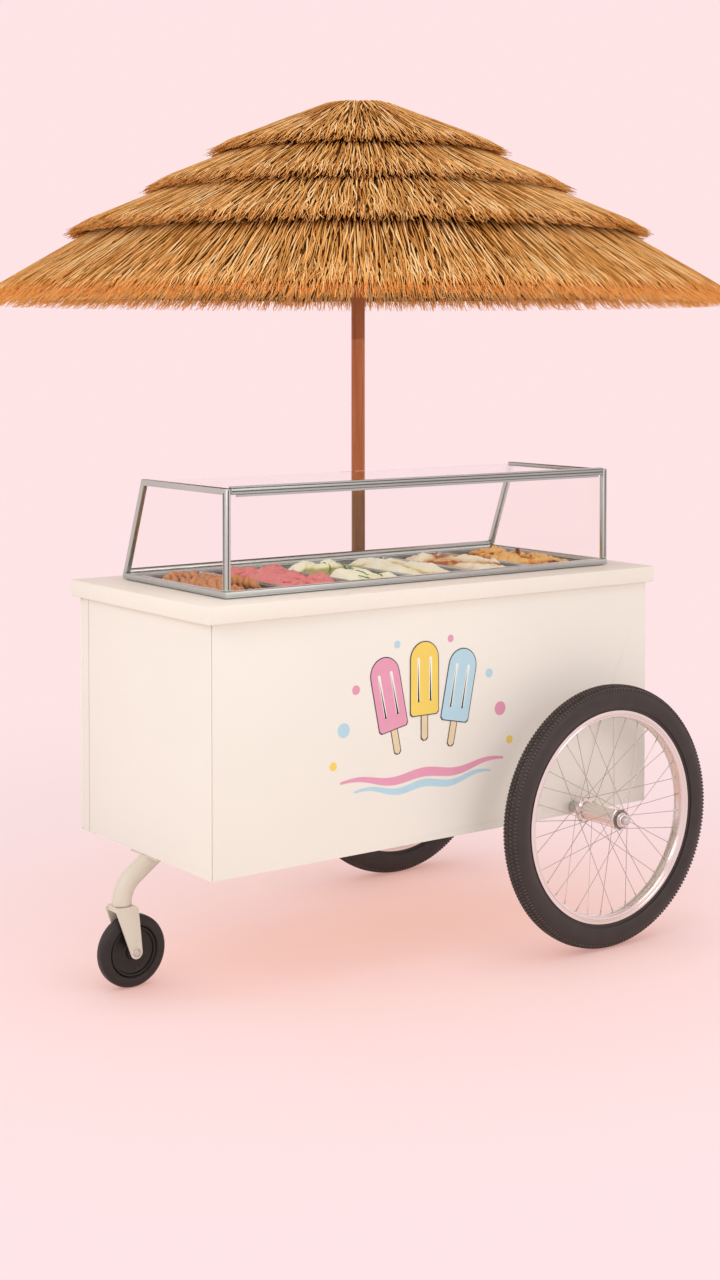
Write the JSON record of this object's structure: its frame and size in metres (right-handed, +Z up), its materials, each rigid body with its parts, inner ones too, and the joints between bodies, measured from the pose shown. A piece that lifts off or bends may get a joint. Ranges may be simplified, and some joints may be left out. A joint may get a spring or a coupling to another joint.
{
  "type": "ice cream cart",
  "caption": "Ice cream vending cart with a glazed pan case, two wire wheels, a swivel caster and a thatched umbrella.",
  "frame": {"origin": "on the ground under the umbrella pole's axis", "axes": "+Z up, +X along the cabinet towards its wheel end, -Y towards the customers"},
  "size_m": [1.956, 1.956, 2.125],
  "materials": {
    "cream_paint": "satin cream paint, warm off-white",
    "counter_top": "matt beige worktop lacquer",
    "case_aluminium": "brushed square profile",
    "case_glass": "clear",
    "stainless_steel": "brushed",
    "zinc_steel": "zinc plated",
    "wheel_chrome": "bright plated",
    "tyre_rubber": "matt with small tread blocks",
    "caster_rubber": "matt",
    "pole_wood": "red-brown stained, satin",
    "thatch": "dry palm straw",
    "ice_cream_1": "chocolate ice cream",
    "ice_cream_2": "strawberry ice cream",
    "ice_cream_3": "mint cream ice cream",
    "ice_cream_4": "vanilla ice cream",
    "ice_cream_5": "caramel swirl ice cream",
    "ice_cream_6": "toffee ice cream"
  },
  "bodies": {
    "cart": {"axle": "zinc_steel", "axle_block_far": "zinc_steel", "axle_block_near": "zinc_steel", "back_panel": "cream_paint", "canopy_frame": "pole_wood", "case_back_bar": "stainless_steel", "case_frame_left": "case_aluminium", "case_frame_right": "case_aluminium", "case_front_rail": "case_aluminium", "case_sill": "stainless_steel", "caster_leg": "cream_paint", "centre_divider": "cream_paint", "cold_well": "stainless_steel", "countertop": "counter_top", "door_pivot_plate": "zinc_steel", "floor_bearer": "cream_paint", "floor_board": "cream_paint", "front_panel": "cream_paint", "glass_front": "case_glass", "glass_left": "case_glass", "glass_right": "case_glass", "glass_top": "case_glass", "ice_cream_1": "ice_cream_1", "ice_cream_2": "ice_cream_2", "ice_cream_3": "ice_cream_3", "ice_cream_4": "ice_cream_4", "ice_cream_5": "ice_cream_5", "ice_cream_6": "ice_cream_6", "left_panel": "cream_paint", "pan_1": "stainless_steel", "pan_2": "stainless_steel", "pan_3": "stainless_steel", "pan_4": "stainless_steel", "pan_5": "stainless_steel", "pan_6": "stainless_steel", "pan_deck": "stainless_steel", "pole": "pole_wood", "pole_socket": "zinc_steel", "right_panel": "cream_paint", "thatch_tier_1": "thatch", "thatch_tier_2": "thatch", "thatch_tier_3": "thatch", "thatch_tier_4": "thatch"},
    "wheel_near": {"tyre_near": "tyre_rubber", "rim_near": "wheel_chrome", "hub_near": "wheel_chrome"},
    "wheel_far": {"tyre_far": "tyre_rubber", "rim_far": "wheel_chrome", "hub_far": "wheel_chrome"},
    "caster": {"caster_fork": "cream_paint", "caster_bolt": "wheel_chrome"},
    "caster_wheel": {"caster_tyre": "caster_rubber", "caster_core": "caster_rubber"},
    "door": {"back_door": "cream_paint", "door_pull": "wheel_chrome"}
  },
  "joints": [
    {"name": "wheel_near_spin", "type": "hinge", "parent": "cart", "child": "wheel_near", "pos_m": [0.253, -0.695, 0.325], "axis": [0, 1, 0], "continuous": true},
    {"name": "wheel_far_spin", "type": "hinge", "parent": "cart", "child": "wheel_far", "pos_m": [0.253, 0.163, 0.325], "axis": [0, 1, 0], "continuous": true},
    {"name": "caster_swivel", "type": "hinge", "parent": "cart", "child": "caster", "pos_m": [-0.87, -0.266, 0.195], "axis": [0, 0, 1], "continuous": true},
    {"name": "caster_spin", "type": "hinge", "parent": "caster", "child": "caster_wheel", "pos_m": [-0.846, -0.266, 0.085], "axis": [0, 1, 0], "continuous": true},
    {"name": "door_swing", "type": "hinge", "parent": "cart", "child": "door", "pos_m": [-0.806, 0.03, 0.5905], "axis": [0, 0, 1], "range_deg": [0, 170]}
  ]
}
